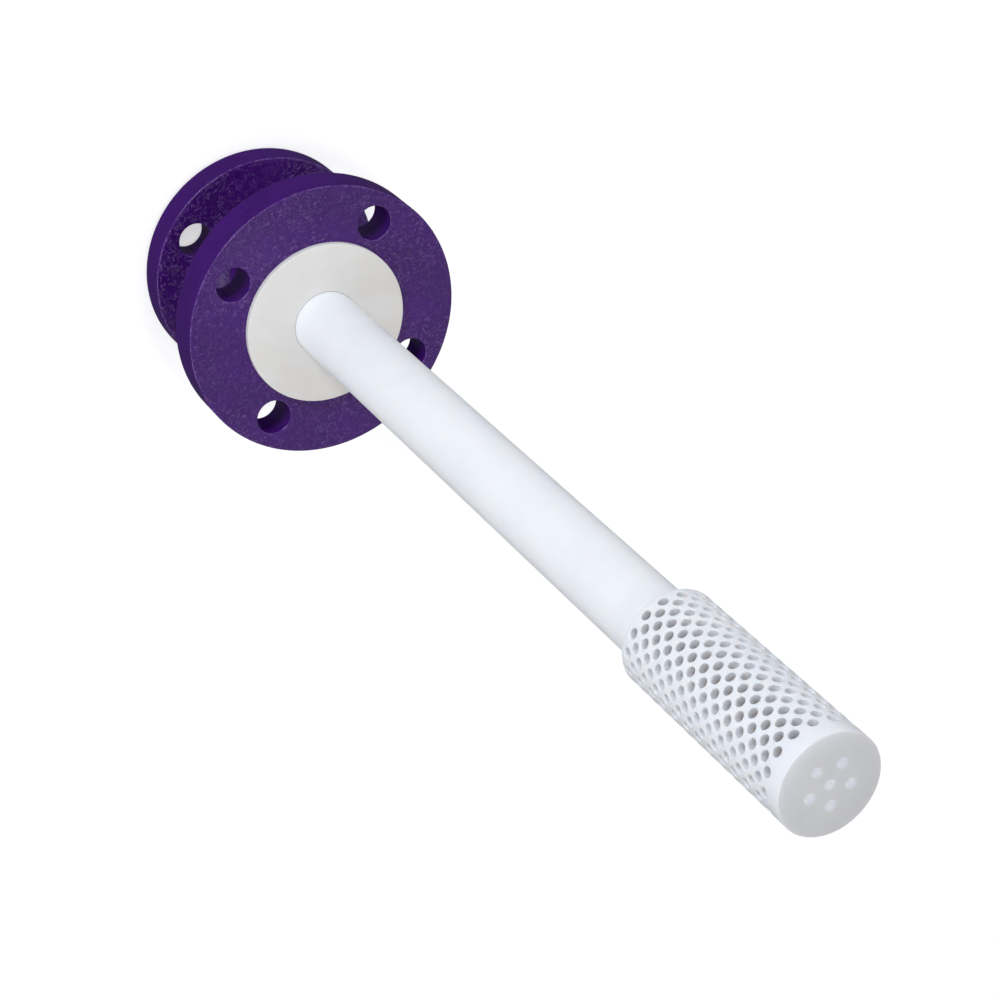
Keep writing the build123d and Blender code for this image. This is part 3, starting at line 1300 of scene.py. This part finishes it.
def make_sky(scene):
    """An even sky, white where the camera sees it and dark below the horizon in the part's gloss."""
    world = bpy.data.worlds.new("studio")
    world.use_nodes = True
    tree = world.node_tree
    view = tree.nodes.new("ShaderNodeTexCoord").outputs["Generated"]
    height = add_node(tree, "ShaderNodeSeparateXYZ", {0: view}).outputs["Z"]
    rays = tree.nodes.new("ShaderNodeLightPath").outputs
    below = add_range(tree, height, *HORIZON_FALL, 1.0, 0.0)
    mirrored_ground = add_math(tree, "MULTIPLY", rays["Is Glossy Ray"], below)
    given = add_range(
        tree, mirrored_ground, 0.0, 1.0, SKY_STRENGTH, MIRRORED_GROUND_STRENGTH, smooth=False
    )
    strength = add_math(tree, "MAXIMUM", given, rays["Is Camera Ray"])
    sky = tree.nodes["Background"]
    sky.inputs["Color"].default_value = SKY_COLOUR
    tree.links.new(strength, sky.inputs["Strength"])
    scene.world = world


class SPARGER_OT_stage(bpy.types.Operator):
    """Add the pale floor, the soft studio light and the camera"""

    bl_idname = "sparger.stage"
    bl_label = "Floor, Light and Camera"

    def execute(self, context):
        scene = context.scene
        make_floor(scene.sparger_colours)
        add_camera(scene)
        add_lights()
        make_sky(scene)
        scene.view_settings.view_transform = "Standard"
        return {"FINISHED"}


class SPARGER_PT_panel(bpy.types.Panel):
    """The steps of the sparger's finish, in the order in which they run"""

    bl_label = "Dip Pipe Sparger"
    bl_idname = "SPARGER_PT_panel"
    bl_space_type = "VIEW_3D"
    bl_region_type = "UI"
    bl_category = "Sparger"

    def draw(self, context):
        for step in STEPS:
            self.layout.operator(step.bl_idname)
        for group in (context.scene.sparger_sizes, context.scene.sparger_colours):
            column = self.layout.column()
            for name in group.__annotations__:
                column.prop(group, name)


STEPS = (
    SPARGER_OT_flanges,
    SPARGER_OT_neck,
    SPARGER_OT_dip_pipe,
    SPARGER_OT_face_ring,
    SPARGER_OT_cup,
    SPARGER_OT_stage,
)
CLASSES = (SpargerSizes, SpargerColours, *STEPS, SPARGER_PT_panel)


def register():
    for item in CLASSES:
        bpy.utils.register_class(item)
    bpy.types.Scene.sparger_sizes = bpy.props.PointerProperty(type=SpargerSizes)
    bpy.types.Scene.sparger_colours = bpy.props.PointerProperty(type=SpargerColours)


def unregister():
    del bpy.types.Scene.sparger_colours
    del bpy.types.Scene.sparger_sizes
    for item in reversed(CLASSES):
        bpy.utils.unregister_class(item)


def main():
    """Registers the add-on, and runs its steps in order."""
    register()
    bpy.ops.sparger.flanges()
    bpy.ops.sparger.neck()
    bpy.ops.sparger.dip_pipe()
    bpy.ops.sparger.face_ring()
    bpy.ops.sparger.cup()
    bpy.ops.sparger.stage()


if __name__ == "__main__":
    main()
